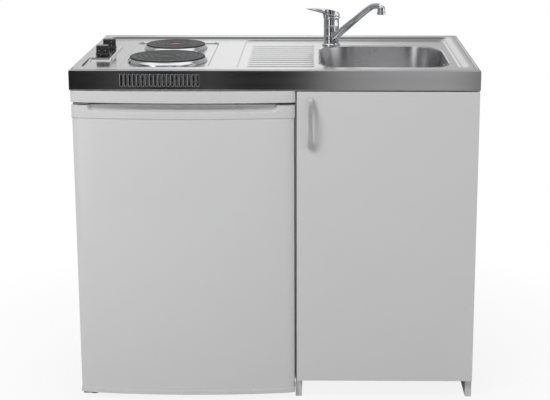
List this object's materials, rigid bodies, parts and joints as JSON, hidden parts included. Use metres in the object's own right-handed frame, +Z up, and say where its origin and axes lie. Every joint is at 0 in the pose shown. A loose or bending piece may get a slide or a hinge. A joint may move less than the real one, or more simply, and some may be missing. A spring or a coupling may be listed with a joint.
{
  "type": "kitchenette unit with sink and hob",
  "caption": "Compact kitchen unit: pressed steel worktop with hotplates, drainer, sink and mixer tap over an under-counter refrigerator and a sink cabinet.",
  "frame": {"origin": "centre of the unit's footprint on the floor", "axes": "+X to the right as seen from the front, +Y to the wall, +Z up; the doors face -Y"},
  "size_m": [1, 0.627, 0.9777],
  "materials": {
    "steel": "pressed stainless sheet, fine brushed",
    "chipboard": "raw chipboard",
    "chrome": "polished",
    "grey_plastic": "moulded, satin",
    "zinc": "zinc-plated",
    "satin_nickel": "satin nickel",
    "cast_iron": "matt, heat-coated",
    "red_enamel": "red enamel",
    "black_plastic": "moulded black",
    "switch_body": "brown ceramic-filled moulding",
    "brass": "turned",
    "copper": "bright copper tube",
    "white_board": "white melamine-faced chipboard",
    "white_sheet": "white paint, satin gloss",
    "white_plastic": "white moulding",
    "gasket": "soft light grey profile",
    "black_metal": "black paint",
    "shelf_glass": "clear toughened glass",
    "clear_plastic": "clear moulded plastic"
  },
  "bodies": {
    "unit": {"worktop": "steel", "sink_bowl": "steel", "carrier_battens": "chipboard", "waste_flange": "chrome", "waste_body": "grey_plastic", "bottle_trap": "grey_plastic", "outlet_pipe": "grey_plastic", "overflow_rosette": "chrome", "overflow_pipe": "grey_plastic", "hob_tray": "zinc", "front_hotplate": "cast_iron", "rear_hotplate": "cast_iron", "front_spill_ring": "chrome", "rear_spill_ring": "chrome", "red_spot": "red_enamel", "plate_clamps": "zinc", "terminal_box": "black_plastic", "hob_switches": "switch_body", "tap_body": "chrome", "tap_shank": "brass", "tap_tails": "copper", "side_left": "white_board", "side_right": "white_board", "cabinet_floor": "white_board", "cabinet_rails": "white_board", "cabinet_back": "white_board", "hinge_arms": "zinc", "fridge_body": "white_sheet", "fridge_liner": "white_plastic", "fridge_lid": "white_plastic", "fridge_feet": "black_plastic", "upper_hinge": "zinc", "lower_hinge": "black_metal", "compressor": "black_metal", "condenser": "black_metal", "drip_tray": "grey_plastic", "ice_box": "white_plastic", "ice_flap": "clear_plastic", "glass_shelves": "shelf_glass", "crisper": "clear_plastic", "thermostat_box": "white_plastic"},
    "front_knob": {"front_knob": "black_plastic"},
    "rear_knob": {"rear_knob": "black_plastic"},
    "spout": {"spout": "chrome", "aerator": "chrome"},
    "mixer_spindle": {"spindle": "brass"},
    "mixer_lever": {"lever": "chrome"},
    "strainer": {"strainer": "chrome"},
    "thermostat_knob": {"thermostat_knob": "grey_plastic"},
    "cabinet_door": {"cabinet_door": "white_board", "bow_handle": "satin_nickel", "handle_screws": "zinc", "hinge_cups": "zinc"},
    "hinge_links": {"hinge_links": "zinc"},
    "fridge_door": {"fdoor_skin": "white_sheet", "fdoor_liner": "white_plastic", "fdoor_top_trim": "white_plastic", "fdoor_bottom_trim": "white_plastic", "fdoor_gasket": "gasket", "door_racks": "clear_plastic"}
  },
  "joints": [
    {"name": "front_knob_turn", "type": "hinge", "parent": "unit", "child": "front_knob", "pos_m": [-0.45, -0.0615, 0.865], "axis": [0, 0, -1], "range_deg": [0, 270]},
    {"name": "rear_knob_turn", "type": "hinge", "parent": "unit", "child": "rear_knob", "pos_m": [-0.45, 0.0535, 0.865], "axis": [0, 0, -1], "range_deg": [0, 270]},
    {"name": "spout_swivel", "type": "hinge", "parent": "unit", "child": "spout", "pos_m": [0.142, 0.1785, 0.865], "axis": [0, 0, 1], "range_deg": [-70, 80]},
    {"name": "lever_turn", "type": "hinge", "parent": "unit", "child": "mixer_spindle", "pos_m": [0.142, 0.1785, 0.905], "axis": [0, 0, 1], "range_deg": [-50, 50]},
    {"name": "lever_lift", "type": "hinge", "parent": "mixer_spindle", "child": "mixer_lever", "pos_m": [0.142, 0.1785, 0.912], "axis": [-0.5736, 0.8192, 0], "range_deg": [0, 18]},
    {"name": "strainer_lift", "type": "slide", "parent": "unit", "child": "strainer", "axis": [0, 0, 1], "range_m": [0, 0.12]},
    {"name": "cabinet_door_swing", "type": "hinge", "parent": "unit", "child": "cabinet_door", "pos_m": [0.4945, -0.275, 0.425], "axis": [0, 0, 1], "range_deg": [0, 95]},
    {"name": "hinge_link_swing", "type": "hinge", "parent": "unit", "child": "hinge_links", "pos_m": [0.481, -0.267, 0.425], "axis": [0, 0, 1], "range_deg": [0, 91]},
    {"name": "fridge_door_swing", "type": "hinge", "parent": "unit", "child": "fridge_door", "pos_m": [-0.483, -0.2725, 0.39], "axis": [0, 0, -1], "range_deg": [0, 120]},
    {"name": "thermostat_turn", "type": "hinge", "parent": "unit", "child": "thermostat_knob", "pos_m": [-0.03, -0.0785, 0.568], "axis": [-1, 0, 0], "range_deg": [0, 300]}
  ],
  "couplings": [
    {"joint": "hinge_link_swing", "follows": "cabinet_door_swing", "ratio": 0.95}
  ]
}
